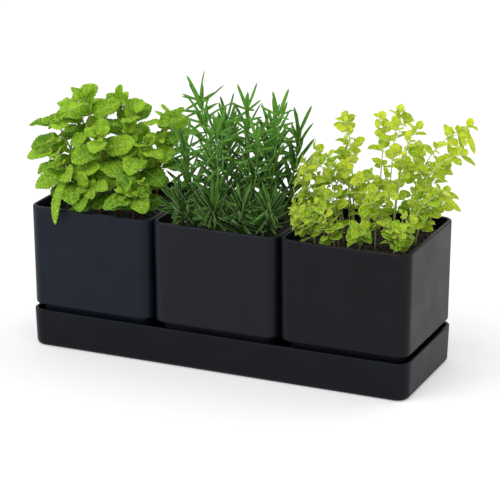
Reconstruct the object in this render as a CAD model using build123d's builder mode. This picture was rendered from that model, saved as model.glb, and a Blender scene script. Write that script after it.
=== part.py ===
from build123d import *
import math
import os

import numpy as np

# An indoor herb planter: three square pots side by side in one long tray, each with
# its own soil and herb. All sizes are in millimetres. The origin is the centre of the
# tray's underside, +X runs along the row of pots and +Y to the back.

# Pots
pot_names = ("mint", "rosemary", "oregano")
pot_top = 129.0  # outside width of a pot at its rim
pot_gap = 1.0  # between the rims of two pots
pot_body_height = 100.0  # from the rim down to the shoulder
pot_draft = 0.8  # how far each wall leans in between rim and shoulder
pot_corner = 12.0
pot_wall = 3.6
pot_floor = 3.0
rim_round_outside = 1.7
rim_round_inside = 0.8
shoulder_round = 2.5
plinth_inset = 7.0  # the plinth under the shoulder stands this far in
plinth_corner = 8.0
plinth_round = 1.5
drain_hole = 8.0
drain_spacing = 50.0

# Tray
tray_height = 37.5
tray_margin = 0.5  # how far the tray stands out past the rims
tray_draft = 1.0
tray_corner = 12.5
tray_wall = 3.0
tray_floor = 3.0
tray_lip_round = 1.0
tray_foot_round = 4.5
boss_height = 5.0  # holds the pots above the drained water
boss_diameter = 14.0
boss_spacing = 78.0
shadow_gap = 5.0  # between the tray's lip and a pot's shoulder

# Soil
soil_below_rim = 13.0
soil_clearance = 0.3

# Herbs: the height of the tallest stem above the soil, the thickness of a stem, and
# the length and width of a full leaf
mint_height = 112.0
mint_stem = 2.6
mint_leaf_length = 37.0
mint_leaf_width = 26.0
rosemary_height = 122.0
rosemary_stem = 2.4
rosemary_leaf_length = 35.0
rosemary_leaf_width = 4.2
oregano_height = 122.0
oregano_stem = 1.6
oregano_leaf_length = 16.0
oregano_leaf_width = 12.0
leaf_thickness = 1.0
leaf_room = 3.2  # between the leaves of one sprig and the next sprig
edge_room = 2.0  # between a leaf and the soil, a wall or the pot beside it

# Each herb's sprigs: where a stem leaves the soil (x, y) and where it ends (x, y, z),
# as shares of half a pot's width and of the herb's height, and its turn in degrees.
mint_sprig_shares = (
    (0.10, 0.10, 0.16, 0.20, 0.85, 20),
    (0.42, 0.15, 0.73, 0.35, 0.82, 50),
    (-0.30, 0.15, -0.63, 0.15, 0.94, 0),
    (-0.45, 0.38, -0.92, 0.42, 0.82, 70),
    (-0.50, 0.00, -1.00, -0.02, 0.70, 30),
    (-0.50, -0.25, -0.86, -0.28, 0.52, 75),
    (-0.05, -0.15, -0.12, -0.36, 0.68, 15),
    (0.30, -0.08, 0.52, -0.16, 0.60, 65),
    (-0.35, -0.50, -0.52, -0.68, 0.42, 40),
    (-0.06, -0.52, -0.12, -0.66, 0.30, 80),
    (0.26, -0.45, 0.38, -0.52, 0.32, 30),
    (0.52, -0.56, 0.66, -0.70, 0.27, 55),
    (-0.08, 0.42, -0.24, 0.55, 0.84, 45),
    (0.40, 0.48, 0.48, 0.62, 0.70, 10),
)
rosemary_sprig_shares = (
    (0.06, -0.40, -0.58, -0.12, 0.98, 0),
    (-0.12, -0.48, -0.16, -0.46, 0.78, 40),
    (0.10, 0.02, 0.07, 0.10, 0.91, 20),
    (0.42, -0.02, 0.58, 0.08, 0.89, 60),
    (-0.30, -0.62, -0.74, -0.32, 0.62, 10),
    (0.60, 0.20, 0.80, 0.35, 0.74, 50),
    (0.28, -0.30, 0.38, -0.22, 0.72, 30),
    (-0.34, 0.30, -0.44, 0.52, 0.74, 70),
    (0.26, 0.42, 0.24, 0.56, 0.70, 0),
    (-0.50, -0.46, -0.64, -0.70, 0.24, 20),
    (-0.02, -0.60, -0.10, -0.76, 0.24, 80),
    (0.30, -0.58, 0.36, -0.74, 0.26, 45),
    (0.60, -0.42, 0.74, -0.60, 0.27, 5),
)
oregano_sprig_shares = (
    (-0.26, 0.14, -0.48, 0.30, 0.91, 0),
    (0.24, 0.20, 0.36, 0.30, 1.00, 30),
    (0.04, 0.34, 0.10, 0.46, 0.85, 60),
    (0.36, 0.06, 0.70, 0.08, 0.92, 20),
    (0.48, 0.16, 1.42, 0.22, 0.96, 70),
    (0.56, -0.04, 1.34, 0.10, 0.76, 10),
    (0.70, -0.40, 1.22, -0.24, 0.50, 50),
    (-0.42, 0.16, -0.88, 0.16, 0.66, 80),
    (-0.48, -0.06, -0.92, -0.14, 0.60, 15),
    (-0.30, -0.20, -0.70, -0.26, 0.62, 45),
    (-0.54, -0.30, -0.90, -0.40, 0.47, 0),
    (-0.62, -0.46, -0.88, -0.58, 0.31, 25),
    (-0.56, -0.62, -0.72, -0.76, 0.22, 65),
    (0.00, -0.18, 0.02, -0.32, 0.53, 35),
    (-0.22, 0.00, -0.40, 0.00, 0.56, 5),
    (0.44, -0.12, 0.62, -0.12, 0.66, 40),
    (0.26, -0.38, 0.38, -0.50, 0.43, 75),
    (-0.28, -0.42, -0.38, -0.54, 0.40, 10),
    (0.12, -0.62, 0.18, -0.78, 0.22, 60),
    (0.62, -0.58, 0.74, -0.66, 0.20, 20),
    (-0.24, -0.66, -0.34, -0.76, 0.22, 45),
    (0.72, 0.06, 1.02, 0.00, 0.36, 0),
    (0.62, 0.44, 0.96, 0.56, 0.56, 30),
    (-0.46, 0.48, -0.62, 0.64, 0.58, 55),
)

# Where leaves stand on a stem, as shares of its length, how large they are there, as
# a share of a full leaf, and how far they lean out from the stem, in degrees
mint_leaf_shares = (
    (0.42, 0.85, 88),
    (0.62, 1.0, 84),
    (0.79, 0.95, 76),
    (0.91, 0.75, 62),
    (0.99, 0.45, 38),
)
rosemary_leaf_shares = tuple(
    (0.14 + 0.086 * level, 1.0 - 0.02 * level, 52 - 3.2 * level) for level in range(11)
)
oregano_leaf_shares = (
    (0.28, 0.9, 74),
    (0.46, 1.0, 72),
    (0.62, 1.0, 68),
    (0.76, 0.9, 62),
    (0.88, 0.8, 54),
    (0.98, 0.65, 36),
)

# Room is felt for at these shares of a leaf's length and width. A leaf is turned about
# its stem until it has room, by these degrees, and left out where it has none.
along_shares = tuple(step / 12 for step in range(1, 13))
across_shares = tuple(step / 8 - 0.5 for step in range(9))
turns = (0, 16, -16, 32, -32, 48, -48)
stem_bends = 6
stem_sides = 6
needle_share = 0.2  # of a needle's length that each pointed end takes
stagger_share = 0.012  # of a stem's length between the two leaves of a pair

# Each herb's habit: how much of its reach and of its rise a stem has gained half-way,
# how far its leaves bow to the light, and how far they roll to it about their length
mint_habit_shares = (0.35, 0.6, 0.32, 0.15)
rosemary_habit_shares = (0.7, 0.5, 0.0, 0.7)
oregano_habit_shares = (0.2, 0.85, 0.3, 0.2)
light_way_shares = (0.15, -0.75, 0.65)  # towards the window, along x, y and z

# Derived places
pitch = pot_top + pot_gap
pot_half = pot_top / 2
first_x = -(len(pot_names) - 1) / 2 * pitch
tray_length = len(pot_names) * pitch - pot_gap + 2 * tray_margin
tray_width = pot_top + 2 * tray_margin
shoulder_z = tray_height + shadow_gap
rim_z = shoulder_z + pot_body_height
step_z = shoulder_z + pot_floor
plinth_z = tray_floor + boss_height
well_z = plinth_z + pot_floor
soil_z = rim_z - soil_below_rim
pot_bottom = pot_top - 2 * pot_draft
plinth_side = pot_bottom - 2 * plinth_inset
well_side = plinth_side - 2 * pot_wall


def level(x, z):
    """The level plane at a height over one pot's centre."""
    return Plane(origin=(x, 0, z))


def block(low, high, low_size, high_size, corner, mode=Mode.ADD):
    """A block with rounded corners and leaning walls, between two level planes."""
    sections = []
    for plane, size in ((low, low_size), (high, high_size)):
        with BuildSketch(plane) as section:
            RectangleRounded(*size, corner)
        sections.append(section.sketch)
    loft(sections, mode=mode)


def save(part, name):
    part.label = name
    export_step(part, f"parts/{name}.step")


def unit(v):
    return v / np.linalg.norm(v)


def stem_points(row, x, height, habit_shares):
    """The bends of one stem, from the soil to its tip."""
    reach_share, rise_share = habit_shares[:2]
    foot = np.array([x + row[0] * pot_half, row[1] * pot_half, soil_z])
    tip = np.array([x + row[2] * pot_half, row[3] * pot_half, soil_z + row[4] * height])
    middle = foot + (tip - foot) * np.array([reach_share, reach_share, rise_share])
    shares = [bend / stem_bends for bend in range(stem_bends + 1)]
    return [(1 - s) ** 2 * foot + 2 * s * (1 - s) * middle + s**2 * tip for s in shares]


def on_stem(points, share):
    """The place and the direction at a share of a stem."""
    bend = min(int(share * stem_bends), stem_bends - 1)
    step = points[bend + 1] - points[bend]
    return points[bend] + step * (share * stem_bends - bend), unit(step)


def leaf_frame(points, share, turn, lean, habit_shares):
    """A leaf's foot, its direction and the direction across it, turned to the light."""
    bow_share, roll_share = habit_shares[2:]
    foot, rise = on_stem(points, share)
    side = unit(np.array([1, 0, 0]) - rise[0] * rise)
    back = np.cross(rise, side)
    out = math.cos(math.radians(turn)) * side + math.sin(math.radians(turn)) * back
    along = math.cos(math.radians(lean)) * rise + math.sin(math.radians(lean)) * out
    face = np.cross(along, unit(np.cross(rise, along)))
    light = unit(np.array(light_way_shares))
    face = unit((1 - bow_share) * face + bow_share * light)
    along = unit(along - (along @ face) * face)
    lit = unit(light - (light @ along) * along)
    face = unit((1 - roll_share) * face + roll_share * lit)
    return foot, along, np.cross(face, along)


def leaf_points(foot, along, across, length, width):
    """Points spread over a leaf that is widest at its middle."""
    return np.array([
        foot + along * length * s + across * width * w * 4 * s * (1 - s)
        for s in along_shares
        for w in across_shares
    ])


def has_room(points, taken, x, inner_sides):
    """Whether a leaf stays clear of walls, soil, the pots beside it and other sprigs."""
    offset = points[:, 0] - x
    if any((offset * side).max() > pot_half - edge_room for side in inner_sides):
        return False
    if points[:, 2].min() < soil_z + edge_room:
        return False
    reach = np.maximum(abs(offset), abs(points[:, 1]))
    low = points[:, 2] < rim_z + edge_room
    by_wall = (reach > pot_half - pot_wall - edge_room) & (reach < pot_half + edge_room)
    if (low & by_wall).any():
        return False
    length = np.linalg.norm(points[-1] - points[0])
    near = taken[np.linalg.norm(taken - points[0], axis=1) < length + leaf_room]
    gaps = np.linalg.norm(near[None, :, :] - points[:, None, :], axis=2)
    return gaps.min(initial=math.inf) > leaf_room


def grow(sprig_shares, leaf_shares, habit_shares, x, inner_sides, height, length, width):
    """Each sprig's stem and the leaves that have room on it."""
    stems = [stem_points(row, x, height, habit_shares) for row in sprig_shares]
    fine = [step / (3 * stem_bends) for step in range(3 * stem_bends + 1)]
    clouds = [np.array([on_stem(stem, share)[0] for share in fine]) for stem in stems]
    leaves = [[] for stem in stems]
    for pair, (share, size, lean) in enumerate(leaf_shares):
        for sprig, row in enumerate(sprig_shares):
            taken = np.vstack([c for other, c in enumerate(clouds) if other != sprig])
            for second in (0, 1):
                foot_share = share + second * stagger_share
                for turn in turns:
                    azimuth = row[5] + 90 * pair + 180 * second + turn
                    placed = leaf_frame(
                        stems[sprig], foot_share, azimuth, lean, habit_shares
                    )
                    leaf = (*placed, length * size, width * size)
                    points = leaf_points(*leaf)
                    if has_room(points, taken, x, inner_sides):
                        clouds[sprig] = np.vstack((clouds[sprig], points))
                        leaves[sprig].append(leaf)
                        break
    return stems, leaves


def leaf_blade(foot, along, across, length, width):
    """A broad leaf: a flat blade between two arcs."""
    with BuildPart() as leaf:
        with BuildSketch(Plane(tuple(foot), tuple(along), tuple(np.cross(along, across)))):
            with BuildLine():
                ThreePointArc((0, 0), (length / 2, width / 2), (length, 0))
                ThreePointArc((length, 0), (length / 2, -width / 2), (0, 0))
            make_face()
        extrude(amount=leaf_thickness / 2, both=True)
    return leaf.part


def needle(foot, along, across, length, width):
    """A needle-shaped leaf: a narrow flat bar, pointed at both ends."""
    near, far, half = length * needle_share, length * (1 - needle_share), width / 2
    outline = ((0, 0), (near, half), (far, half), (length, 0), (far, -half), (near, -half))
    with BuildPart() as leaf:
        with BuildSketch(Plane(tuple(foot), tuple(along), tuple(np.cross(along, across)))):
            Polygon(*outline, align=None)
        extrude(amount=leaf_thickness / 2, both=True)
    return leaf.part


def make_sprig(points, leaves, thickness):
    """A stem with its leaves, in one piece."""
    with BuildPart() as herb:
        for point, above in zip(points, points[1:]):
            with BuildSketch(Plane(tuple(point))):
                RegularPolygon(thickness / 2, stem_sides)
            step = above - point
            extrude(amount=np.linalg.norm(step), dir=tuple(step))
        add(leaves)
    return herb.part


herbs = {
    "mint": (
        mint_sprig_shares, mint_leaf_shares, mint_habit_shares,
        mint_height, mint_leaf_length, mint_leaf_width, mint_stem, leaf_blade,
    ),
    "rosemary": (
        rosemary_sprig_shares, rosemary_leaf_shares, rosemary_habit_shares,
        rosemary_height, rosemary_leaf_length, rosemary_leaf_width, rosemary_stem, needle,
    ),
    "oregano": (
        oregano_sprig_shares, oregano_leaf_shares, oregano_habit_shares,
        oregano_height, oregano_leaf_length, oregano_leaf_width, oregano_stem, leaf_blade,
    ),
}

os.makedirs("parts", exist_ok=True)

# The tray is a long shell with leaning walls. Four bosses carry each pot.
low_length = tray_length - 2 * tray_draft
low_width = tray_width - 2 * tray_draft
with BuildPart() as tray:
    block(
        level(0, 0),
        level(0, tray_height),
        (low_length, low_width),
        (tray_length, tray_width),
        tray_corner,
    )
    fillet(tray.faces().sort_by(Axis.Z)[0].edges(), tray_foot_round)
    block(
        level(0, tray_floor),
        level(0, tray_height),
        (low_length - 2 * tray_wall, low_width - 2 * tray_wall),
        (tray_length - 2 * tray_wall, tray_width - 2 * tray_wall),
        tray_corner - tray_wall,
        Mode.SUBTRACT,
    )
    fillet(tray.faces().sort_by(Axis.Z)[-1].edges(), tray_lip_round)
    with BuildSketch(level(0, tray_floor)):
        with GridLocations(pitch, 0, len(pot_names), 1):
            with GridLocations(boss_spacing, boss_spacing, 2, 2):
                Circle(boss_diameter / 2)
    extrude(amount=boss_height)
save(tray.part, "tray")

for place, name in enumerate(pot_names):
    x = first_x + place * pitch

    # A pot is a leaning square shell on a narrower hollow plinth with drain holes
    with BuildPart() as pot:
        block(
            level(x, shoulder_z),
            level(x, rim_z),
            (pot_bottom, pot_bottom),
            (pot_top, pot_top),
            pot_corner,
        )
        fillet(pot.faces().sort_by(Axis.Z)[0].edges(), shoulder_round)
        with BuildSketch(level(x, plinth_z)):
            RectangleRounded(plinth_side, plinth_side, plinth_corner)
        extrude(amount=shoulder_z - plinth_z)
        fillet(pot.faces().sort_by(Axis.Z)[0].edges(), plinth_round)
        block(
            level(x, step_z),
            level(x, rim_z),
            (pot_bottom - 2 * pot_wall, pot_bottom - 2 * pot_wall),
            (pot_top - 2 * pot_wall, pot_top - 2 * pot_wall),
            pot_corner - pot_wall,
            Mode.SUBTRACT,
        )
        with BuildSketch(level(x, well_z)):
            RectangleRounded(well_side, well_side, plinth_corner - pot_wall)
        extrude(amount=step_z - well_z, mode=Mode.SUBTRACT)
        fillet(pot.faces().sort_by(Axis.Z)[-1].outer_wire().edges(), rim_round_outside)
        fillet(pot.faces().sort_by(Axis.Z)[-1].inner_wires()[0].edges(), rim_round_inside)
        with BuildSketch(level(x, plinth_z)):
            with GridLocations(drain_spacing, drain_spacing, 2, 2):
                Circle(drain_hole / 2)
            Circle(drain_hole / 2)
        extrude(amount=pot_floor, mode=Mode.SUBTRACT)
    save(pot.part, f"{name}_pot")

    # The soil fills the plinth and the pot up to a little below the rim
    root_side = well_side - 2 * soil_clearance
    soil_low = pot_bottom - 2 * pot_wall - 2 * soil_clearance
    soil_top = soil_low + 2 * pot_draft * (soil_z - step_z) / pot_body_height
    with BuildPart() as soil:
        block(
            level(x, step_z + soil_clearance),
            level(x, soil_z),
            (soil_low, soil_low),
            (soil_top, soil_top),
            pot_corner - pot_wall,
        )
        with BuildSketch(level(x, well_z)):
            RectangleRounded(root_side, root_side, plinth_corner - pot_wall)
        extrude(amount=step_z + soil_clearance - well_z)
    save(soil.part, f"{name}_soil")

    # The herb's sprigs stand on the soil, and lean out only over the row's two ends
    # and its front and back
    inner_sides = [side for side, end in ((-1, 0), (1, len(pot_names) - 1)) if place != end]
    *rule_shares, height, length, width, thickness, leaf_shape = herbs[name]
    stems, leaves = grow(*rule_shares, x, inner_sides, height, length, width)
    for number, (points, places) in enumerate(zip(stems, leaves), 1):
        blades = [leaf_shape(*leaf) for leaf in places]
        sprig = make_sprig(points, blades, thickness)
        save(sprig, f"{name}_sprig_{number:02d}")
        print(name, number, "leaves", len(blades), "solids", len(sprig.solids()))
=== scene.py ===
# %% [markdown]
# # A windowsill herb planter
# Three square black pots stand in one long drip tray, with mint on the left, rosemary in
# the middle and oregano on the right. The pots and the tray come ready made from the
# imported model, at their real size. This lesson gives them their plastic, fills them with
# soil and grows the three herbs leaf by leaf.

# %% Load the frame
import math
import random
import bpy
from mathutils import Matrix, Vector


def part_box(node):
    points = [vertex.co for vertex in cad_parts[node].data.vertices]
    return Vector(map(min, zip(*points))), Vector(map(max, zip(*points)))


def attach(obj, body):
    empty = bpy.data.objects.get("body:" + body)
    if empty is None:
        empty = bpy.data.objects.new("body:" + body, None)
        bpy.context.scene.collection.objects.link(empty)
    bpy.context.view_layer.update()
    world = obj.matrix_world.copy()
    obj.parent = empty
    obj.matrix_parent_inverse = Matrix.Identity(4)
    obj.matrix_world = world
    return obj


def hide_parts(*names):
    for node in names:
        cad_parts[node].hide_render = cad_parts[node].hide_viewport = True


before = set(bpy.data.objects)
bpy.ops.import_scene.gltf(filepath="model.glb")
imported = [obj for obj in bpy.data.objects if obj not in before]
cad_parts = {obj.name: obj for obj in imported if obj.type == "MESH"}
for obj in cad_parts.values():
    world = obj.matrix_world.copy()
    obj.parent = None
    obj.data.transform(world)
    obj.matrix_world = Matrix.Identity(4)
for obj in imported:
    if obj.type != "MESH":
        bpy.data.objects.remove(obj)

from types import SimpleNamespace

import bmesh
import bpy
import numpy as np
from mathutils import Quaternion, Vector, noise

scene = bpy.context.scene
mm = 0.001
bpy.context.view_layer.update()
print("nodes in the frame:", len(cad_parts))

# %% [markdown]
# ## The view
# The photograph was taken from the front and a little to the right, looking down by
# about 18 degrees, with a long lens, so the edges of the tray stay almost parallel.
# The camera is placed by those angles and turned towards a point inside the planter.

# %% Camera
view_azimuth = math.radians(23.66)
view_elevation = math.radians(18.34)
view_distance = 2.205
view_target = Vector((0.0104, 0, 0.105))
photo_width = 500
focal_pixels = 2300
sensor_width = 36

view_back = Vector((
    math.sin(view_azimuth) * math.cos(view_elevation),
    -math.cos(view_azimuth) * math.cos(view_elevation),
    math.sin(view_elevation),
))
camera = bpy.data.objects.new("camera", bpy.data.cameras.new("camera"))
camera.data.sensor_width = sensor_width
camera.data.lens = focal_pixels / photo_width * sensor_width
camera.location = view_target + view_distance * view_back
camera.rotation_mode = "QUATERNION"
camera.rotation_quaternion = (-view_back).to_track_quat("-Z", "Y")
scene.collection.objects.link(camera)
scene.camera = camera
scene.view_settings.view_transform = "Standard"
print("lens:", round(camera.data.lens, 1), "mm")

# %% [markdown]
# ## A short way to write materials
# Every finish here is a small net of shader nodes. This helper adds one node, sets its
# options, and fills its inputs with plain values or with another node's output, so that
# each material reads from the pattern to the shader.

# %% Node helpers
def add_node(tree, kind, inputs=(), **options):
    """One node, with its options set and its inputs filled or linked."""
    node = tree.nodes.new("ShaderNode" + kind)
    for option, value in options.items():
        setattr(node, option, value)
    for name, value in dict(inputs).items():
        if isinstance(value, bpy.types.NodeSocket):
            tree.links.new(value, node.inputs[name])
        else:
            node.inputs[name].default_value = value
    return node


def new_material(name):
    """An empty material and its output node."""
    material = bpy.data.materials.new(name)
    material.use_nodes = True
    material.node_tree.nodes.clear()
    return material, material.node_tree, add_node(material.node_tree, "OutputMaterial")


def calculate(tree, operation, *values):
    """One Math node's result."""
    inputs = {number: value for number, value in enumerate(values)}
    return add_node(tree, "Math", inputs, operation=operation).outputs[0]


def blend(tree, share, low, high):
    """A colour between two colours."""
    inputs = {"Factor": share, 6: low, 7: high}
    return add_node(tree, "Mix", inputs, data_type="RGBA").outputs[2]


def rescale(tree, value, low, high, new_low, new_high):
    """A value moved from one range to another, and kept in it."""
    inputs = {0: value, 1: low, 2: high, 3: new_low, 4: new_high}
    return add_node(tree, "MapRange", inputs).outputs[0]


def speckle(tree, place, size, detail=2.0, roughness=0.5):
    """Soft noise whose spots are about one size across, in metres."""
    inputs = {"Vector": place, "Scale": 1 / size, "Detail": detail, "Roughness": roughness}
    return add_node(tree, "TexNoise", inputs).outputs["Fac"]


# %% [markdown]
# ## The studio
# The photograph shows the planter on pure white. The floor is a plain white sheet: it
# takes the planter's shadow, and it glows just enough in the eye of the camera, and in
# reflections, to come out white. The light is soft and even: a pale sky with one broad
# lamp from the front left and a weaker one from behind.

# %% Floor and light
floor_size = 14
floor_white = 0.8
seen_white = 1.1
sky_level = 0.64


def seen_or_mirrored(tree):
    """One for what the camera sees, directly, mirrored or through glass, else zero."""
    path = add_node(tree, "LightPath").outputs
    direct_or_mirror = calculate(tree, "MAXIMUM", path["Is Camera Ray"], path["Is Glossy Ray"])
    return calculate(tree, "MAXIMUM", direct_or_mirror, path["Is Transmission Ray"])


def make_floor():
    """The white sheet under the planter."""
    bm = bmesh.new()
    bmesh.ops.create_grid(bm, x_segments=1, y_segments=1, size=floor_size / 2)
    mesh = bpy.data.meshes.new("floor")
    bm.to_mesh(mesh)
    bm.free()
    material, tree, output = new_material("white floor")
    sheet = add_node(tree, "BsdfDiffuse", {"Color": (floor_white, floor_white, floor_white, 1)})
    glow = calculate(tree, "MULTIPLY", seen_or_mirrored(tree), seen_white - floor_white)
    light = add_node(tree, "Emission", {"Strength": glow})
    both = add_node(tree, "AddShader", {0: sheet.outputs[0], 1: light.outputs[0]})
    tree.links.new(both.outputs[0], output.inputs["Surface"])
    mesh.materials.append(material)
    floor = bpy.data.objects.new("floor", mesh)
    scene.collection.objects.link(floor)


def make_sky():
    """A pale even sky that shows white where the camera sees it."""
    scene.world = bpy.data.worlds.new("sky")
    scene.world.use_nodes = True
    tree = scene.world.node_tree
    tree.nodes.clear()
    strength = rescale(tree, seen_or_mirrored(tree), 0, 1, sky_level, 1)
    sky = add_node(tree, "Background", {"Color": (1, 1, 1, 1), "Strength": strength})
    output = add_node(tree, "OutputWorld")
    tree.links.new(sky.outputs[0], output.inputs["Surface"])


def make_lamp(name, strength, azimuth, elevation, softness):
    """A broad lamp that shines on the planter from one direction, in degrees."""
    lamp = bpy.data.objects.new(name, bpy.data.lights.new(name, "SUN"))
    lamp.data.energy = strength
    lamp.data.angle = math.radians(softness)
    side, height = math.radians(azimuth), math.radians(elevation)
    back = Vector((
        math.sin(side) * math.cos(height), -math.cos(side) * math.cos(height), math.sin(height)
    ))
    lamp.rotation_mode = "QUATERNION"
    lamp.rotation_quaternion = back.to_track_quat("Z", "Y")
    scene.collection.objects.link(lamp)


make_floor()
make_sky()
make_lamp("front lamp", strength=1.15, azimuth=-30, elevation=50, softness=50)
make_lamp("back lamp", strength=0.5, azimuth=150, elevation=48, softness=50)
print("floor, sky and two lamps")

# %% [markdown]
# ## The pots and the tray
# They are moulded in black plastic with a satin skin. Each piece gets its own black and
# its own gloss: the mint pot's black leans most to blue and the oregano pot's to grey, and
# the oregano pot and the tray are the darkest and the least glossy. The skin isn't quite
# even: it has a very fine grain, and it is a little glossier in some places than in
# others, which shows where it mirrors the pale floor. The imported shapes are right as
# they are, so they stay, and only get this finish.

# %% Black plastic
grain_size = 0.7 * mm
grain_relief = 0.02 * mm
cloud_size = 35 * mm
plastic_blacks = {
    "mint_pot": (0.0050, 0.0080, 0.0155),
    "rosemary_pot": (0.0062, 0.0070, 0.0110),
    "oregano_pot": (0.0045, 0.0040, 0.0066),
    "tray": (0.0040, 0.0052, 0.0082),
}
plastic_glosses = {"mint_pot": 0.18, "rosemary_pot": 0.18, "oregano_pot": 0.155, "tray": 0.125}
worn_share = 1.35


def make_plastic(name, black, gloss):
    """Satin black plastic with a fine grain and a slightly uneven gloss."""
    material, tree, output = new_material(name)
    place = add_node(tree, "TexCoord").outputs["Object"]
    clouds = speckle(tree, place, cloud_size, 4, 0.6)
    grain = speckle(tree, place, grain_size, 1)
    patches = rescale(tree, clouds, 0.35, 0.65, 0, 1)
    worn = tuple(level * worn_share for level in black)
    skin = add_node(tree, "BsdfPrincipled", {
        "Base Color": blend(tree, patches, (*black, 1), (*worn, 1)),
        "Roughness": rescale(tree, clouds, 0.3, 0.7, 0.36, 0.46),
        "Specular IOR Level": gloss,
        "Normal": add_node(tree, "Bump", {
            "Height": grain, "Strength": 0.35, "Distance": grain_relief,
        }).outputs[0],
    })
    tree.links.new(skin.outputs[0], output.inputs["Surface"])
    return material


pot_names = ("mint", "rosemary", "oregano")
for name, black in plastic_blacks.items():
    plastic = make_plastic(name + " plastic", black, plastic_glosses[name])
    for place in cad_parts[name].material_slots:
        place.material = plastic
    print("black plastic on", name)

# %% [markdown]
# ## Where things stand
# The herbs grow by the same rule as the solids they stand for. A pot's centre, the soil
# and the rim are read from the frame, and the sizes that the rule needs are written here
# once, in metres.

# %% Places
pot_half = 64.5 * mm
pot_wall = 3.6 * mm
soil_below_rim = 13 * mm
rim_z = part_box("mint_pot")[1].z
soil_z = rim_z - soil_below_rim
pot_x = {}
for herb in pot_names:
    low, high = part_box(herb + "_pot")
    pot_x[herb] = (low.x + high.x) / 2
print("pots at", [round(x / mm) for x in pot_x.values()], "rim at", round(rim_z / mm, 1))

# %% [markdown]
# ## Soil
# Each pot is filled to a finger's width below its rim with dark potting soil, and the
# soil has taken the pot's shape down to its plinth, so the herb lifts out with a root
# ball of that shape. A grid makes the lumpy top; its edge is then pulled down the pot's
# walls ring by ring. Crumbs and a few pale bits of bark lie on top.

# %% Soil finish
soil_dark = (0.006, 0.0045, 0.0035, 1)
soil_light = (0.030, 0.021, 0.014, 1)
bark_dark = (0.05, 0.03, 0.018, 1)
bark_light = (0.14, 0.085, 0.045, 1)
earth_relief = 0.4 * mm


def make_earth(name, dark, light, size):
    """Rough crumbly earth or bark."""
    material, tree, output = new_material(name)
    place = add_node(tree, "TexCoord").outputs["Object"]
    crumbs = speckle(tree, place, size, 6, 0.7)
    fine = speckle(tree, place, size / 5, 3, 0.6)
    earth = add_node(tree, "BsdfPrincipled", {
        "Base Color": blend(tree, rescale(tree, crumbs, 0.38, 0.68, 0, 1), dark, light),
        "Roughness": rescale(tree, fine, 0.3, 0.7, 0.8, 1.0),
        "Specular IOR Level": 0.2,
        "Normal": add_node(tree, "Bump", {
            "Height": fine, "Strength": 0.8, "Distance": earth_relief,
        }).outputs[0],
    })
    tree.links.new(earth.outputs[0], output.inputs["Surface"])
    return material


soil_finish = make_earth("potting soil", soil_dark, soil_light, 3 * mm)
bark_finish = make_earth("bark", bark_dark, bark_light, 2 * mm)
print("two earth finishes")

# %% Soil shape
soil_grid = 44
soil_relief = 1.6 * mm
side_relief = 0.5 * mm
soil_corner = 8.4 * mm
root_half = 52.7 * mm
step_z = 45.9 * mm
wall_gap = 0.3 * mm
step_draft = 1.2 * mm
wall_shares = (0.05, 0.15, 0.3, 0.45, 0.6, 0.75, 0.9, 1.0)
root_shares = (0, 0.3, 0.6, 0.99)
edge_rise = 12
lump_scale = 90
dent_scale = 160
crumbs_in_a_pot = 320
crumb_inset = 2.5 * mm
bark_chance = 0.06
# A crumb's radius and its height over the soil, in millimetres, and its three shares
crumb_radii = (0.5, 1.7)
crumb_heights = (-0.2, 0.9)
crumb_shares = ((0.8, 1.9), (0.7, 1.1), (0.5, 0.8))
wobble_shares = (0.8, 1.2)


def round_square(x, y, half, corner):
    """A point of the unit square, moved into a square with round corners."""
    ring = max(abs(x), abs(y))
    core = (half - corner) * ring
    near = Vector((max(-core, min(core, x * half)), max(-core, min(core, y * half))))
    past = Vector((x * half, y * half)) - near
    if past.length > corner * ring:
        past = past.normalized() * corner * ring
    return near + past


def add_crumb(bm, rng, x0, reach):
    """One crumb of soil, or now and then a bit of bark, half sunk into the top."""
    spot = Vector((x0 + rng.uniform(-reach, reach), rng.uniform(-reach, reach), soil_z))
    spot.z += rng.uniform(*crumb_heights) * mm
    turn = Quaternion((rng.random(), rng.random(), rng.random()), rng.uniform(0, 6))
    stretch = [rng.uniform(*shares) for shares in crumb_shares]
    radius = rng.uniform(*crumb_radii) * mm
    made = bmesh.ops.create_icosphere(bm, subdivisions=1, radius=radius)["verts"]
    is_bark = rng.random() < bark_chance
    for v in made:
        wobble = rng.uniform(*wobble_shares)
        v.co = spot + turn @ Vector([a * b * wobble for a, b in zip(v.co, stretch)])
    for face in {face for v in made for face in v.link_faces}:
        face.material_index = int(is_bark)


def add_walls(bm, x0, top_half, low_z):
    """Pulls the edge of a soil's top down the pot's walls, ring by ring, and closes it."""
    step_half = top_half - step_draft
    rings = [
        (top_half + (step_half - top_half) * share, soil_z + (step_z - soil_z) * share)
        for share in wall_shares
    ]
    rings += [(root_half, step_z + (low_z - step_z) * share) for share in root_shares]
    edges = [e for e in bm.edges if e.is_boundary]
    before = top_half
    for half, z in rings:
        made = bmesh.ops.extrude_edge_only(bm, edges=edges)["geom"]
        edges = [g for g in made if isinstance(g, bmesh.types.BMEdge)]
        for v in [g for g in made if isinstance(g, bmesh.types.BMVert)]:
            v.co = (x0 + (v.co.x - x0) * half / before, v.co.y * half / before, z)
        before = half
    for v in bm.verts:
        if v.co.z < soil_z - soil_relief:
            rough = noise.noise(v.co * dent_scale) * 0.5 + 0.5
            shrink = 1 - side_relief * rough / top_half
            v.co = (x0 + (v.co.x - x0) * shrink, v.co.y * shrink, v.co.z)
    bmesh.ops.contextual_create(bm, geom=edges)


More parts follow.
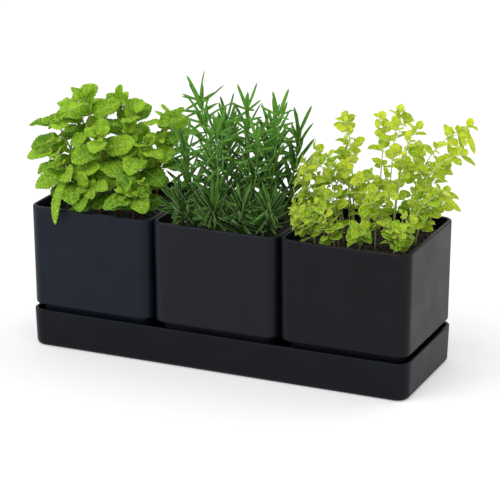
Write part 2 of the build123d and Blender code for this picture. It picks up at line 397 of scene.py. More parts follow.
def make_soil(herb, seed):
    """The soil of one pot, down to its plinth, with lumps and crumbs on top."""
    low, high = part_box(herb + "_soil")
    x0 = pot_x[herb]
    top_half = (high.x - low.x) / 2 - wall_gap
    rng = random.Random(seed)
    bm = bmesh.new()
    bmesh.ops.create_grid(bm, x_segments=soil_grid, y_segments=soil_grid, size=1)
    for v in bm.verts:
        edge = min(1.0, (1 - max(abs(v.co.x), abs(v.co.y))) * edge_rise)
        x, y = round_square(v.co.x, v.co.y, top_half, soil_corner)
        lumps = noise.fractal(Vector((x, y, seed)) * lump_scale, 1.0, 2.0, 4)
        v.co = (x0 + x, y, soil_z + soil_relief * edge * lumps)
    add_walls(bm, x0, top_half, low.z)
    for face in bm.faces:
        face.smooth = True
    bmesh.ops.recalc_face_normals(bm, faces=bm.faces)
    for _ in range(crumbs_in_a_pot):
        add_crumb(bm, rng, x0, top_half - crumb_inset)
    return bm


def finish_piece(bm, name, body, replaced, finishes):
    """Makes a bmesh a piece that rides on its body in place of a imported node."""
    mesh = bpy.data.meshes.new(name)
    bm.to_mesh(mesh)
    bm.free()
    for finish in finishes:
        mesh.materials.append(finish)
    piece = bpy.data.objects.new(name, mesh)
    scene.collection.objects.link(piece)
    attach(piece, body)
    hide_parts(replaced)
    return piece


for seed, herb in enumerate(pot_names, 1):
    soil = finish_piece(
        make_soil(herb, seed), herb + "_root_ball", herb + "_plant",
        herb + "_soil", (soil_finish, bark_finish),
    )
    print(soil.name, len(soil.data.polygons), "faces")

# %% [markdown]
# ## How the herbs grow
# Each row of a sprig table says where one stem leaves the soil, where it ends, how tall
# it is, and how far it is turned. A leaf looks for room: it is turned about its stem
# until it is clear of the walls, the soil, the pot beside it and the other sprigs, and
# it is left out where it finds none. The solids in the frame grew by the same rule from
# the same tables, so each detailed sprig stands exactly where its solid stands.

# %% Sprig tables
# Foot x and y and tip x and y as shares of half a pot's width, tip height as a share of
# the herb's height, and the sprig's turn in degrees
mint_sprig_shares = (
    (0.10, 0.10, 0.16, 0.20, 0.85, 20),
    (0.42, 0.15, 0.73, 0.35, 0.82, 50),
    (-0.30, 0.15, -0.63, 0.15, 0.94, 0),
    (-0.45, 0.38, -0.92, 0.42, 0.82, 70),
    (-0.50, 0.00, -1.00, -0.02, 0.70, 30),
    (-0.50, -0.25, -0.86, -0.28, 0.52, 75),
    (-0.05, -0.15, -0.12, -0.36, 0.68, 15),
    (0.30, -0.08, 0.52, -0.16, 0.60, 65),
    (-0.35, -0.50, -0.52, -0.68, 0.42, 40),
    (-0.06, -0.52, -0.12, -0.66, 0.30, 80),
    (0.26, -0.45, 0.38, -0.52, 0.32, 30),
    (0.52, -0.56, 0.66, -0.70, 0.27, 55),
    (-0.08, 0.42, -0.24, 0.55, 0.84, 45),
    (0.40, 0.48, 0.48, 0.62, 0.70, 10),
)
rosemary_sprig_shares = (
    (0.06, -0.40, -0.58, -0.12, 0.98, 0),
    (-0.12, -0.48, -0.16, -0.46, 0.78, 40),
    (0.10, 0.02, 0.07, 0.10, 0.91, 20),
    (0.42, -0.02, 0.58, 0.08, 0.89, 60),
    (-0.30, -0.62, -0.74, -0.32, 0.62, 10),
    (0.60, 0.20, 0.80, 0.35, 0.74, 50),
    (0.28, -0.30, 0.38, -0.22, 0.72, 30),
    (-0.34, 0.30, -0.44, 0.52, 0.74, 70),
    (0.26, 0.42, 0.24, 0.56, 0.70, 0),
    (-0.50, -0.46, -0.64, -0.70, 0.24, 20),
    (-0.02, -0.60, -0.10, -0.76, 0.24, 80),
    (0.30, -0.58, 0.36, -0.74, 0.26, 45),
    (0.60, -0.42, 0.74, -0.60, 0.27, 5),
)
oregano_sprig_shares = (
    (-0.26, 0.14, -0.48, 0.30, 0.91, 0),
    (0.24, 0.20, 0.36, 0.30, 1.00, 30),
    (0.04, 0.34, 0.10, 0.46, 0.85, 60),
    (0.36, 0.06, 0.70, 0.08, 0.92, 20),
    (0.48, 0.16, 1.42, 0.22, 0.96, 70),
    (0.56, -0.04, 1.34, 0.10, 0.76, 10),
    (0.70, -0.40, 1.22, -0.24, 0.50, 50),
    (-0.42, 0.16, -0.88, 0.16, 0.66, 80),
    (-0.48, -0.06, -0.92, -0.14, 0.60, 15),
    (-0.30, -0.20, -0.70, -0.26, 0.62, 45),
    (-0.54, -0.30, -0.90, -0.40, 0.47, 0),
    (-0.62, -0.46, -0.88, -0.58, 0.31, 25),
    (-0.56, -0.62, -0.72, -0.76, 0.22, 65),
    (0.00, -0.18, 0.02, -0.32, 0.53, 35),
    (-0.22, 0.00, -0.40, 0.00, 0.56, 5),
    (0.44, -0.12, 0.62, -0.12, 0.66, 40),
    (0.26, -0.38, 0.38, -0.50, 0.43, 75),
    (-0.28, -0.42, -0.38, -0.54, 0.40, 10),
    (0.12, -0.62, 0.18, -0.78, 0.22, 60),
    (0.62, -0.58, 0.74, -0.66, 0.20, 20),
    (-0.24, -0.66, -0.34, -0.76, 0.22, 45),
    (0.72, 0.06, 1.02, 0.00, 0.36, 0),
    (0.62, 0.44, 0.96, 0.56, 0.56, 30),
    (-0.46, 0.48, -0.62, 0.64, 0.58, 55),
)
# Where leaves stand along a stem, their size as a share of a full leaf, and how far they
# lean out from the stem in degrees
mint_leaf_shares = (
    (0.42, 0.85, 88),
    (0.62, 1.0, 84),
    (0.79, 0.95, 76),
    (0.91, 0.75, 62),
    (0.99, 0.45, 38),
)
rosemary_leaf_shares = tuple(
    (0.14 + 0.086 * level, 1.0 - 0.02 * level, 52 - 3.2 * level) for level in range(11)
)
oregano_leaf_shares = (
    (0.28, 0.9, 74),
    (0.46, 1.0, 72),
    (0.62, 1.0, 68),
    (0.76, 0.9, 62),
    (0.88, 0.8, 54),
    (0.98, 0.65, 36),
)
print("sprigs:", len(mint_sprig_shares), len(rosemary_sprig_shares), len(oregano_sprig_shares))

# %% The rule
leaf_room = 3.2 * mm
edge_room = 2.0 * mm
along_shares = tuple(step / 12 for step in range(1, 13))
across_shares = tuple(step / 8 - 0.5 for step in range(9))
turns = (0, 16, -16, 32, -32, 48, -48)
stem_bends = 6
marks_per_bend = 3
stagger_share = 0.012
light_way = np.array([0.15, -0.75, 0.65])


def unit(v):
    """A vector of length one."""
    return v / np.linalg.norm(v)


def curve_points(foot, middle, tip, steps):
    """Points on a curve that leaves its foot towards a middle point."""
    shares = [step / steps for step in range(steps + 1)]
    return [(1 - s) ** 2 * foot + 2 * s * (1 - s) * middle + s**2 * tip for s in shares]


def stem_points(row, x, height, habit):
    """The bends of one stem, from the soil to its tip."""
    lean_share, upright_share = habit[:2]
    foot = np.array([x + row[0] * pot_half, row[1] * pot_half, soil_z])
    tip = np.array([x + row[2] * pot_half, row[3] * pot_half, soil_z + row[4] * height])
    middle = foot + (tip - foot) * np.array([lean_share, lean_share, upright_share])
    return curve_points(foot, middle, tip, stem_bends)


def on_stem(points, share):
    """The place and the direction at a share of a stem."""
    bend = min(int(share * stem_bends), stem_bends - 1)
    step = points[bend + 1] - points[bend]
    return points[bend] + step * (share * stem_bends - bend), unit(step)


def leaf_frame(points, share, turn, lean, habit):
    """A leaf's foot, its direction and the direction across it."""
    bow_share, roll_share = habit[2:]
    foot, rise = on_stem(points, share)
    side = unit(np.array([1, 0, 0]) - rise[0] * rise)
    back = np.cross(rise, side)
    out = math.cos(math.radians(turn)) * side + math.sin(math.radians(turn)) * back
    along = math.cos(math.radians(lean)) * rise + math.sin(math.radians(lean)) * out
    face = np.cross(along, unit(np.cross(rise, along)))
    light = unit(light_way)
    face = unit((1 - bow_share) * face + bow_share * light)
    along = unit(along - (along @ face) * face)
    lit = unit(light - (light @ along) * along)
    face = unit((1 - roll_share) * face + roll_share * lit)
    return foot, along, np.cross(face, along)


def leaf_points(foot, along, across, length, width):
    """Points spread over a leaf that is widest at its middle."""
    return np.array([
        foot + along * length * s + across * width * w * 4 * s * (1 - s)
        for s in along_shares
        for w in across_shares
    ])


def in_cell(points, x, inner_sides):
    """Whether a leaf stays clear of walls, soil and the pots beside it."""
    offset = points[:, 0] - x
    if any((offset * side).max() > pot_half - edge_room for side in inner_sides):
        return False
    if points[:, 2].min() < soil_z + edge_room:
        return False
    reach = np.maximum(abs(offset), abs(points[:, 1]))
    low = points[:, 2] < rim_z + edge_room
    by_wall = (reach > pot_half - pot_wall - edge_room) & (reach < pot_half + edge_room)
    return not (low & by_wall).any()


def has_room(points, taken, x, inner_sides):
    """Whether a leaf is in its cell and clear of other sprigs."""
    if not in_cell(points, x, inner_sides):
        return False
    length = np.linalg.norm(points[-1] - points[0])
    near = taken[np.linalg.norm(taken - points[0], axis=1) < length + leaf_room]
    gaps = np.linalg.norm(near[None, :, :] - points[:, None, :], axis=2)
    return gaps.min(initial=math.inf) > leaf_room


def grow(sprig_shares, leaf_shares, habit, x, inner_sides, height, length, width):
    """Each sprig's stem and the leaves that have room on it."""
    stems = [stem_points(row, x, height, habit) for row in sprig_shares]
    marks = marks_per_bend * stem_bends
    fine = [mark / marks for mark in range(marks + 1)]
    clouds = [np.array([on_stem(stem, share)[0] for share in fine]) for stem in stems]
    leaves = [[] for stem in stems]
    for pair, (share, size, lean) in enumerate(leaf_shares):
        for sprig, row in enumerate(sprig_shares):
            taken = np.vstack([c for other, c in enumerate(clouds) if other != sprig])
            for second in (0, 1):
                foot_share = share + second * stagger_share
                for turn in turns:
                    azimuth = row[5] + 90 * pair + 180 * second + turn
                    placed = leaf_frame(stems[sprig], foot_share, azimuth, lean, habit)
                    leaf = (*placed, length * size, width * size)
                    points = leaf_points(*leaf)
                    if has_room(points, taken, x, inner_sides):
                        clouds[sprig] = np.vstack((clouds[sprig], points))
                        leaves[sprig].append(leaf)
                        break
    return stems, leaves


print("growth rule ready")

# %% [markdown]
# ## The shape of a leaf
# A leaf starts as a flat grid. Its outline comes from a short formula that is widest
# below the middle and ends in a point, its edge from a row of teeth, and its surface
# from the veins: the leaf puffs up between them. The whole blade is folded a little
# along its midrib and bent along an arc, so its two ends stay where the solid's ends
# are. Its skin is then doubled, and the lower skin moves down along its own normals,
# which gives the blade its real thickness. Each blade is a small bmesh of its own.

# %% Leaf blade
vein_slant_share = 0.32
tooth_power = 8
wave_turn = 11
merge_distance = 0.02 * mm
phase_span = 6.3
straight_limit = 1e-4


class Blade:
    """What the blades of one herb have in common, with sizes as shares of the leaf."""

    def __init__(self, rows, columns, low_power, high_power, **form):
        self.rows, self.columns = rows, columns
        self.low_power, self.high_power = low_power, high_power
        self.peak = low_power / (low_power + high_power)
        self.stalk = form.get("stalk", 0)
        self.tooth = form.get("tooth", 0)
        self.veins = form.get("veins", 0)
        self.puff = form.get("puff", 0)
        self.fold = form.get("fold", 0)
        self.roll = form.get("roll", 0)
        self.wave = form.get("wave", 0)
        self.thickness = form["thickness"]

    def outline(self, s):
        """The blade's width at a share of its length, one at its widest."""
        low = (s / self.peak) ** self.low_power if s > 0 else 0
        high = ((1 - s) / (1 - self.peak)) ** self.high_power if s < 1 else 0
        return low * high

    def side(self, s, w, half):
        """How far a point lies from the midrib, with teeth near the edge."""
        row = round(s * self.rows)
        tooth = self.tooth * (1 if row % 2 else -1) * abs(w) ** tooth_power
        return half * w * (1 + tooth) * math.cos(self.fold * abs(w))

    def lift(self, s, w, half, phase):
        """How far a point rises, by the fold, the rolled edge, the puffs and the waves."""
        lift = half * abs(w) * math.sin(self.fold * abs(w)) - half * self.roll * w**4
        if self.veins:
            vein = (s - vein_slant_share * abs(w)) * self.veins
            swell = math.sin(math.pi * vein) ** 2 * min(1, abs(w) * 4) * (1 - w**6)
            lift += half * self.puff * swell
        return lift + half * self.wave * abs(w) * math.sin(s * wave_turn + phase + (w > 0) * 2)


def new_bmesh():
    """An empty bmesh with a leaf map, a shade for each leaf, and a mark on its underside."""
    bm = bmesh.new()
    bm.verts.layers.float.new("shade")
    bm.verts.layers.float.new("under")
    bm.loops.layers.uv.new("leaf")
    return bm


def bent_spine(share, length, bend):
    """Place and slope of a point on an arc over a leaf's chord, bent by an angle."""
    if abs(bend) < straight_limit:
        return share * length, 0.0, 0.0
    radius = length / (2 * math.sin(bend / 2))
    slope = bend / 2 - bend * share
    rise = radius * (math.cos(slope) - math.cos(bend / 2))
    return radius * (math.sin(bend / 2) - math.sin(slope)), rise, slope


def thicken(bm, thickness):
    """Doubles a skin and moves the lower one down along its normals."""
    made = bmesh.ops.extrude_face_region(bm, geom=bm.faces[:])["geom"]
    bm.normal_update()
    under = bm.verts.layers.float["under"]
    for v in [g for g in made if isinstance(g, bmesh.types.BMVert)]:
        v.co -= v.normal * thickness
        v[under] = 1
    bmesh.ops.recalc_face_normals(bm, faces=bm.faces)


def make_blade(leaf, blade, rng, bend, roll_angle, shade):
    """One leaf blade as a bmesh of its own."""
    foot, along, across, length, width = leaf
    foot, along, across = Vector(foot), Vector(along), Vector(across)
    roll = Quaternion(along, roll_angle)
    up = roll @ along.cross(across)
    across = roll @ across
    phase = rng.uniform(0, phase_span)
    bm = new_bmesh()
    shades = bm.verts.layers.float["shade"]
    bmesh.ops.create_grid(
        bm, x_segments=blade.rows, y_segments=blade.columns, size=0.5, calc_uvs=True
    )
    for v in bm.verts:
        s, w = v.co.x + 0.5, v.co.y * 2
        half = width / 2 * blade.outline(s)
        share = blade.stalk + (1 - blade.stalk) * s
        x, z, slope = bent_spine(share, length, bend)
        spine = foot + along * x + up * z
        normal = up * math.cos(slope) + along * math.sin(slope)
        v.co = spine + normal * blade.lift(s, w, half, phase) + across * blade.side(s, w, half)
        v[shades] = shade
    bmesh.ops.remove_doubles(bm, verts=bm.verts, dist=merge_distance)
    thicken(bm, blade.thickness)
    return bm


print("leaf blade ready")

# %% [markdown]
# ## Stems and stalks
# A stem is a face pushed along its bends, and turned and narrowed a little at each one.
# The leaf stalks are made the same way, much thinner, and follow the first part of the
# leaf's own arc.

# %% Stem
stem_slot = 1
stem_steps = 14
stem_sides = 8
stem_taper_share = 0.55
shoot_steps = 5
thin_sides = 5
shoot_shares = (0.5, 0.3)
stalk_steps = 4
stalk_overlap_share = 0.1
stalk_taper_share = 0.5


def add_stem(bm, points, low_radius, high_radius, sides):
    """A tapering rod along some points."""
    points = [Vector(point) for point in points]
    steps = [(b - a).normalized() for a, b in zip(points, points[1:])]
    ways = [steps[0]] + [(a + b).normalized() for a, b in zip(steps, steps[1:])] + [steps[-1]]
    shrink = (high_radius / low_radius) ** (1 / len(steps))
    made = bmesh.ops.create_circle(bm, cap_ends=True, segments=sides, radius=low_radius)
    start = ways[0].to_track_quat("Z", "Y")
    for v in made["verts"]:
        v.co = points[0] + start @ v.co
    face = made["verts"][0].link_faces[0]
    face.material_index = stem_slot
    for number in range(1, len(points)):
        geometry = bmesh.ops.extrude_face_region(bm, geom=[face, *face.edges])["geom"]
        face = [g for g in geometry if isinstance(g, bmesh.types.BMFace)][0]
        turn = ways[number - 1].rotation_difference(ways[number])
        for v in face.verts:
            v.co = points[number] + turn @ (v.co - points[number - 1]) * shrink
        for side in {side for v in face.verts for side in v.link_faces}:
            side.material_index = stem_slot


def smooth_points(points, steps):
    """A finer run of points on the curve through a stem's foot, middle and tip."""
    foot, tip = Vector(points[0]), Vector(points[-1])
    middle = (Vector(points[stem_bends // 2]) * 4 - foot - tip) / 2
    return curve_points(foot, middle, tip, steps)


def add_stalk(bm, leaf, blade, bend, radius):
    """The thin stalk between the stem and a blade, which it enters a little way."""
    foot, along, across, length = leaf[:4]
    up = Vector(np.cross(along, across))
    points = []
    for step in range(stalk_steps + 1):
        share = (blade.stalk + stalk_overlap_share) * step / stalk_steps
        x, z, _ = bent_spine(share, length, bend)
        points.append(Vector(foot) + Vector(along) * x + up * z)
    add_stem(bm, points, radius, radius * stalk_taper_share, thin_sides)


print("stem ready")

# %% [markdown]
# ## Leaf finishes
# A leaf's colour isn't even. Pale veins run out from the midrib, small puffed cells lie
# between them with painted light on their middles and painted shade in the furrows around
# them, the rim and the underside are paler, and the tissue is mottled. The grid's own map
# gives the place along and across each leaf. Attributes on the mesh give each leaf's own
# shade, darker low in the plant, partly as the paler green of young growth higher up and
# partly as painted shade under the leaves above, and mark its underside. Some light comes
# through the thin blade, so a leaf glows a little when it is lit from behind.

# %% Leaf finish
mottle_size = 4 * mm
puff_depth_share = 0.22
streak_size = 1.5 * mm
streak_relief = 0.1 * mm


def vein_net(tree, share, off_middle, veins):
    """A pale midrib, and slanted side veins where a leaf has them."""
    net = rescale(tree, off_middle, 0.015, 0.055, 0.55, 0)
    if not veins:
        return net
    slanted = calculate(tree, "MULTIPLY_ADD", off_middle, -2 * vein_slant_share, share)
    turn = calculate(tree, "MULTIPLY", slanted, veins * math.pi)
    side_veins = calculate(tree, "ABSOLUTE", calculate(tree, "SINE", turn))
    return calculate(tree, "MAXIMUM", net, rescale(tree, side_veins, 0, 0.22, 0.4, 0))


def make_leaf_finish(name, look):
    """A living leaf: veins, painted light and shade on puffed cells, paler rim and underside."""
    material, tree, output = new_material(name)
    spot = add_node(tree, "SeparateXYZ", {0: add_node(tree, "UVMap", uv_map="leaf").outputs[0]})
    place = add_node(tree, "TexCoord").outputs["Object"]
    shade = add_node(tree, "Attribute", attribute_name="shade").outputs["Fac"]
    under = add_node(tree, "Attribute", attribute_name="under").outputs["Fac"]
    off_middle = calculate(tree, "ABSOLUTE", calculate(tree, "SUBTRACT", spot.outputs[1], 0.5))
    net = vein_net(tree, spot.outputs[0], off_middle, look.veins)
    cells = add_node(
        tree, "TexVoronoi", {"Vector": place, "Scale": 1 / look.cell}, feature="DISTANCE_TO_EDGE"
    ).outputs["Distance"]
    # Painted light and shade: each puffed cell is lighter in its middle and darker at its edge,
    # in the furrow between cells.
    puff_light_and_shade = rescale(tree, cells, 0, 0.28, -look.relief, look.relief)
    mottle = speckle(tree, place, mottle_size, 4, 0.65)
    patch = rescale(tree, mottle, 0.3, 0.7, -0.25, 0.25)
    tone = calculate(tree, "ADD", calculate(tree, "ADD", patch, puff_light_and_shade), shade)
    rim = rescale(tree, off_middle, 0.41, 0.49, 0, look.pale_share)
    lines = calculate(tree, "MAXIMUM", net, rim)
    below = calculate(tree, "MULTIPLY", under, look.pale_share)
    pallor = calculate(tree, "MAXIMUM", lines, below)
    colour = blend(tree, pallor, blend(tree, tone, look.dark, look.light), look.pale)
    swell = rescale(tree, cells, 0, 0.35, 0, 1)
    depth = look.cell * puff_depth_share
    bump = add_node(tree, "Bump", {"Height": swell, "Strength": 0.75, "Distance": depth})
    skin = add_node(tree, "BsdfPrincipled", {
        "Base Color": colour,
        "Roughness": rescale(tree, mottle, 0.3, 0.7, 0.42, 0.58),
        "Specular IOR Level": look.shine,
        "Normal": bump.outputs[0],
    })
    through = add_node(tree, "BsdfTranslucent", {"Color": colour, "Normal": bump.outputs[0]})
    leaf = add_node(tree, "MixShader", {0: look.glow, 1: skin.outputs[0], 2: through.outputs[0]})
    tree.links.new(leaf.outputs[0], output.inputs["Surface"])
    return material


def make_stem_finish(name, low_colour, high_colour, rise):
    """A stem that changes colour from the soil up to some height, with fine streaks."""
    material, tree, output = new_material(name)
    place = add_node(tree, "TexCoord").outputs["Object"]
    height = add_node(tree, "SeparateXYZ", {0: place}).outputs[2]
    streaks = speckle(tree, place, streak_size, 3)
    lift = rescale(tree, height, soil_z, soil_z + rise, 0, 1)
    tone = calculate(tree, "ADD", lift, rescale(tree, streaks, 0.3, 0.7, -0.25, 0.25))
    skin = add_node(tree, "BsdfPrincipled", {
        "Base Color": blend(tree, tone, low_colour, high_colour),
        "Roughness": rescale(tree, streaks, 0.3, 0.7, 0.45, 0.6),
        "Specular IOR Level": 0.35,
        "Normal": add_node(tree, "Bump", {
            "Height": streaks, "Strength": 0.4, "Distance": streak_relief,
        }).outputs[0],
    })
    tree.links.new(skin.outputs[0], output.inputs["Surface"])
    return material


# %% Leaf looks
# In each look, the puffed cells' share sets how strong their painted light and shade are.
mint_look = SimpleNamespace(
    dark=(0.09, 0.30, 0.006, 1), light=(0.60, 0.92, 0.05, 1), pale=(0.58, 0.84, 0.20, 1),
    veins=7, cell=3.0 * mm, relief=0.26, pale_share=0.45, shine=0.22, glow=0.36,
)
rosemary_look = SimpleNamespace(
    dark=(0.001, 0.04, 0.0, 1), light=(0.16, 0.48, 0.03, 1), pale=(0.50, 0.72, 0.32, 1),
    veins=0, cell=2.0 * mm, relief=0.12, pale_share=0.45, shine=0.08, glow=0.12,
)
oregano_look = SimpleNamespace(
    dark=(0.26, 0.55, 0.0, 1), light=(0.92, 1.0, 0.05, 1), pale=(0.98, 1.0, 0.50, 1),
    veins=4, cell=2.6 * mm, relief=0.24, pale_share=0.65, shine=0.14, glow=0.42,
)
mint_finishes = (
    make_leaf_finish("mint leaf", mint_look),
    make_stem_finish("mint stem", (0.30, 0.13, 0.06, 1), (0.36, 0.42, 0.09, 1), 110 * mm),
)
rosemary_finishes = (
    make_leaf_finish("rosemary needle", rosemary_look),
    make_stem_finish("rosemary stem", (0.10, 0.12, 0.03, 1), (0.20, 0.50, 0.07, 1), 70 * mm),
)
oregano_finishes = (
    make_leaf_finish("oregano leaf", oregano_look),
    make_stem_finish("oregano stem", (0.50, 0.50, 0.20, 1), (0.70, 0.86, 0.30, 1), 100 * mm),
)
print("six plant finishes")

# %% [markdown]
# ## Small leaves and far leaves
# A living sprig keeps its next leaves in the corners between its leaves and its stem.
# So each leaf gets a smaller one or two beside it, where there is room, and some get a
# short side shoot with small pairs of leaves, more of them low in the plant. A few
# narrow leaves reach well past all others, as in the photograph, and their tips are
# placed one by one.

# %% Small leaves
# A pair's place on its shoot, its size and how far it leans out in degrees
young_pairs = ((0.5, 0.8, 66), (0.78, 1.0, 60), (1.0, 0.7, 36))
shoot_rises = (0.7, 1.5)
shoot_lengths = (0.7, 1.2)
shoot_sag_share = -0.08
young_sizes = (0.65, 1.3)
tip_share = 0.999
turn_play = 20
lean_play = 12
low_boost = 1.5
extra_tone = 0.1
shoot_tone = 0.15
far_tone = 0.6


def tilted(leaf, turn, lean, size):
    """A smaller leaf from the same foot, turned about the stem and leant from it."""
    foot, along, across, length, width = leaf
    rise = unit(np.cross(along, across))
    spin = Quaternion(Vector(rise), math.radians(turn))
    new_across = np.array(spin @ Vector(across))
    tip = Quaternion(Vector(new_across), -math.radians(lean))
    new_along = np.array(tip @ (spin @ Vector(along)))
    return foot, new_along, new_across, length * size, width * size


def far_leaf(points, share, x, tip, width):
    """A leaf from a share of a stem to a given tip, with its face to the light."""
    foot = on_stem(points, share)[0]
    reach = np.array([x, 0, soil_z]) + np.array(tip) * mm - foot
    along = unit(reach)
    across = unit(np.cross(light_way, along))
    return foot, along, across, np.linalg.norm(reach), width * mm


def side_shoot(leaf, reach, rng, size, habit):
    """A short stem from a leaf's corner, with small pairs of leaves."""
    foot, along, _, length, width = leaf
    way = unit(along + np.array([0, 0, rng.uniform(*shoot_rises)]))
    tip = foot + way * reach * rng.uniform(*shoot_lengths)
    middle = (foot + tip) / 2 + np.array([0, 0, shoot_sag_share]) * reach
    points = curve_points(foot, middle, tip, stem_bends)
    leaves = []
    first = rng.uniform(0, 180)
    for pair, (share, part, full_lean) in enumerate(young_pairs):
        for second in (0, 1):
            turn = first + 90 * pair + 180 * second + rng.uniform(-turn_play, turn_play)
            lean = full_lean + rng.uniform(-lean_play, lean_play)
            placed = leaf_frame(points, share * tip_share, turn, lean, habit)
            scale = size * part * rng.uniform(*young_sizes)
            leaves.append((*placed, length * scale, width * scale))
    return points, leaves


def add_young(herb, leaf, lift, tone, rng, toned, shoots):
    """Adds the small leaves, and perhaps a side shoot, in one leaf's corner."""
    x, sides = pot_x[herb.name], herb.inner_sides
    for turn, lean, size in herb.extras:
        small = tilted(leaf, turn + rng.uniform(-lean_play, lean_play), lean, size)
        if in_cell(leaf_points(*small), x, sides):
            toned.append((small, tone + extra_tone, None))
    if rng.random() >= herb.shoot_chance * (low_boost - low_boost * lift):
        return
    shoot, young = side_shoot(leaf, herb.shoot_reach, rng, herb.shoot_size, herb.habit)
    if in_cell(np.array(shoot[1:]), x, sides):
        shoots.append(shoot)
        for small in young:
            if in_cell(leaf_points(*small), x, sides):
                toned.append((small, tone + shoot_tone, None))


print("small leaves ready")

# %% [markdown]
# ## Growing a herb
# One function makes a whole sprig. It starts with the stem and its side shoots, and
# then joins on one blade after the other, each with its stalk. Another function grows
# all the sprigs of a pot, and seats each on its body in place of its solid.

# %% Sprig
shade_play = 0.28


def join(bm, part):
    """Moves all of one bmesh into another."""
    mesh = bpy.data.meshes.new("part")
    part.to_mesh(mesh)
    part.free()
    bm.from_mesh(mesh)
    bpy.data.meshes.remove(mesh)


def make_sprig(herb, points, shoots, leaves, rng):
    """One sprig as a bmesh: material 0 is leaf and material 1 stem."""
    bm = new_bmesh()
    radius = herb.stem_thickness / 2
    add_stem(bm, smooth_points(points, stem_steps), radius, radius * stem_taper_share, stem_sides)
    low, high = (radius * share for share in shoot_shares)
    for shoot in shoots:
        add_stem(bm, smooth_points(shoot, shoot_steps), low, high, thin_sides)
    for leaf, tone, given_bend in leaves:
        bend = rng.uniform(*herb.bends)
        if given_bend is not None:
            bend = given_bend
        shade = min(1.0, max(0.0, tone + rng.uniform(-shade_play, shade_play)))
        roll = rng.uniform(-herb.roll_limit, herb.roll_limit)
        part = make_blade(leaf, herb.blade, rng, bend, roll, shade)
        if herb.blade.stalk:
            add_stalk(part, leaf, herb.blade, bend, herb.stalk_radius)
        join(bm, part)
    for face in bm.faces:
        face.smooth = True
    bmesh.ops.recalc_face_normals(bm, faces=bm.faces)
    return bm


def all_leaves(herb, number, points, leaves, rng):
    """One sprig's leaves, each with its tone and any given bend, and its side shoots."""
    toned, shoots = [], []
    low_tone, high_tone = herb.tones
    for leaf in leaves:
        # The tone rises with height: partly the paler green of young growth, partly painted shade
        # on the lower leaves, under the others.
        lift = (leaf[0][2] - soil_z) / herb.height
        tone = low_tone + (high_tone - low_tone) * lift
        toned.append((leaf, tone, None))
        add_young(herb, leaf, lift, tone, rng, toned, shoots)
    for sprig, share, tip, width, bend in herb.far_leaves:
        if sprig == number:
            leaf = far_leaf(points, share, pot_x[herb.name], tip, width)
            toned.append((leaf, far_tone, bend))
    return toned, shoots


def make_herb(herb):
    """Grows all the sprigs of one pot and seats them on their body."""
    name = herb.name
    stems, grown = grow(
        herb.sprig_shares, herb.leaf_shares, herb.habit, pot_x[name], herb.inner_sides,
        herb.height, herb.leaf_length, herb.leaf_width,
    )
    triangles = 0
    small_leaves = 0
    for number, (points, leaves) in enumerate(zip(stems, grown), 1):
        rng = random.Random(herb.seed + number)
        toned, shoots = all_leaves(herb, number, points, leaves, rng)
        small_leaves += len(toned) - len(leaves)
        piece = finish_piece(
            make_sprig(herb, points, shoots, toned, rng), f"{name}_shoot_{number:02d}",
            name + "_plant", f"{name}_sprig_{number:02d}", herb.finishes,
        )
        piece.data.calc_loop_triangles()
        triangles += len(piece.data.loop_triangles)
    print(name, len(stems), "sprigs", sum(map(len, grown)), "leaves and", small_leaves,
          "small ones,", triangles, "triangles")


print("ready to grow")

# %% [markdown]
# ## Mint
# Mint has broad, quilted, saw-edged leaves in crossed pairs on square reddish stems.
# They droop towards their tips, so from the front their upper sides show.
#
# In each herb's list of far leaves, a row has the sprig's number, the share of its stem,
# the tip's place from the pot's centre and the soil, the leaf's width, both in
# millimetres, and its bend.

# %% Mint
mint_blade = Blade(
    22, 10, 0.50, 0.66, stalk=0.13, tooth=0.08, veins=7, puff=0.26, fold=0.20, roll=0.14,
    wave=0.11, thickness=0.35 * mm,
)
make_herb(SimpleNamespace(
    name="mint",
    seed=400,
    sprig_shares=mint_sprig_shares,
    leaf_shares=mint_leaf_shares,
    habit=(0.35, 0.6, 0.32, 0.15),
    inner_sides=(1,),
    height=112 * mm,
    leaf_length=37 * mm,
    leaf_width=26 * mm,
    stem_thickness=2.6 * mm,
    stalk_radius=0.55 * mm,
    blade=mint_blade,
    bends=(0.0, 1.3),
    roll_limit=0.45,
    tones=(0.3, 0.84),
    finishes=mint_finishes,
    extras=((55, 40, 0.36),),
    shoot_chance=0.4,
    shoot_reach=16 * mm,
    shoot_size=0.42,
    far_leaves=(
        (5, 0.97, (-100, 5, 72), 13, 0.9),
        (6, 0.97, (-98, -5, 42), 12, 0.9),
        (9, 0.85, (-31, -73, 0), 10, 1.7),
        (13, 0.98, (1, 10, 122), 14, 0.3),
    ),
))

# %% [markdown]
# ## Rosemary
# Rosemary's leaves are narrow, dark, slightly curved needles with rolled edges. They
# stand up along pale green stems, so the plant is spiky.

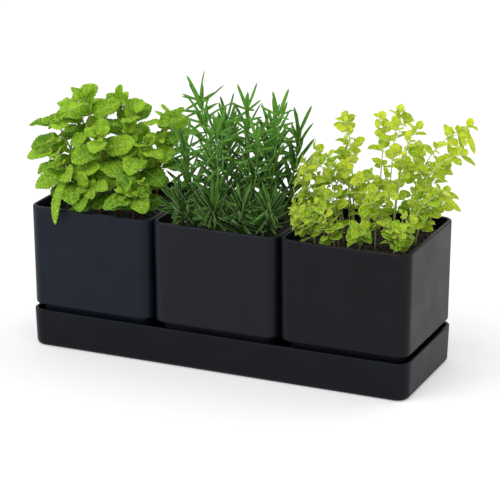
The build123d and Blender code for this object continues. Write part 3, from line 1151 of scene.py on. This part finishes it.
# %% Rosemary
needle_blade = Blade(8, 2, 0.28, 0.42, fold=0.5, thickness=0.5 * mm)
make_herb(SimpleNamespace(
    name="rosemary",
    seed=800,
    sprig_shares=rosemary_sprig_shares,
    leaf_shares=rosemary_leaf_shares,
    habit=(0.7, 0.5, 0.0, 0.7),
    inner_sides=(-1, 1),
    height=122 * mm,
    leaf_length=35 * mm,
    leaf_width=4.2 * mm,
    stem_thickness=2.4 * mm,
    blade=needle_blade,
    bends=(-0.7, 0.5),
    roll_limit=0.5,
    tones=(0.0, 0.95),
    finishes=rosemary_finishes,
    extras=((90, 14, 0.72), (-80, 24, 0.6)),
    shoot_chance=0,
    far_leaves=(
        (1, 0.97, (-49, -8, 136), 1.8, -0.4),
        (1, 0.99, (-57, -8, 125), 1.8, 0.4),
        (1, 0.98, (-13, -8, 138), 1.8, -0.3),
        (1, 0.86, (-4, -8, 122), 1.8, 0.3),
    ),
))

# %% [markdown]
# ## Oregano
# Oregano has small round soft leaves of a bright yellow green, in pairs on thin stems
# that arch over the pot's edge.

# %% Oregano
oregano_blade = Blade(
    6, 4, 0.5, 0.62, stalk=0.16, veins=3, puff=0.1, fold=0.35, wave=0.08,
    thickness=0.3 * mm,
)
make_herb(SimpleNamespace(
    name="oregano",
    seed=700,
    sprig_shares=oregano_sprig_shares,
    leaf_shares=oregano_leaf_shares,
    habit=(0.2, 0.85, 0.3, 0.2),
    inner_sides=(-1,),
    height=122 * mm,
    leaf_length=16 * mm,
    leaf_width=12 * mm,
    stem_thickness=1.6 * mm,
    stalk_radius=0.32 * mm,
    blade=oregano_blade,
    bends=(-0.7, 1.4),
    roll_limit=0.6,
    tones=(0.2, 0.85),
    finishes=oregano_finishes,
    extras=((60, 26, 0.5),),
    shoot_chance=0.3,
    shoot_reach=19 * mm,
    shoot_size=0.8,
    far_leaves=(
        (5, 0.76, (81, 14, 83), 6, 0.5),
        (5, 0.88, (87, 14, 93), 5, 0.4),
        (5, 0.96, (98, 14, 92), 6, 0.5),
        (6, 0.98, (100, 12, 82), 6, 0.4),
        (7, 0.98, (90, -2, 53), 7, 0.5),
        (7, 0.99, (94, -8, 43), 6, 0.4),
        (2, 0.88, (21, 18, 126), 4, 0.2),
        (2, 0.92, (38, 18, 116), 5, 0.3),
        (1, 0.82, (-43, 19, 104), 8, 0.3),
        (1, 0.93, (-22, 19, 116), 8, 0.3),
    ),
))
